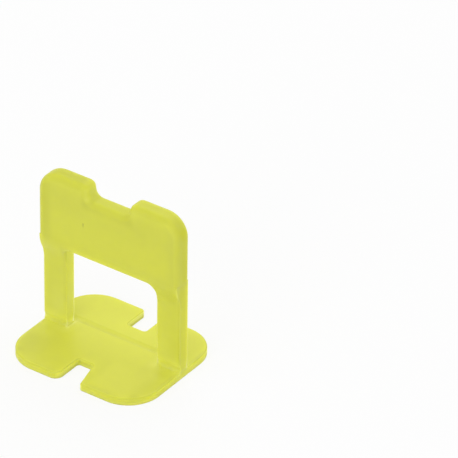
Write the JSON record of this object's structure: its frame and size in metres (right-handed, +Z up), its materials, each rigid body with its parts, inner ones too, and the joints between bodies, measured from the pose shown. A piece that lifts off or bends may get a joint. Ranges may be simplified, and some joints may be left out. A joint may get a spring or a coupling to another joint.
{
  "type": "tile levelling clip",
  "caption": "Moulded plastic clip for levelling tiles: slotted base plate, upright with break-off legs around a wedge window, and a thick head with a grip notch.",
  "frame": {"origin": "middle of the base plate's underside", "axes": "+X along the upright plate, +Y towards its flat rear face (the head stands proud towards -Y), +Z up from the base to the head"},
  "size_m": [0.0408, 0.0344, 0.0447],
  "materials": {
    "clip_plastic": "injection-moulded translucent yellow-green polypropylene, satin"
  },
  "bodies": {
    "root": {"levelling_clip": "clip_plastic"}
  },
  "joints": []
}
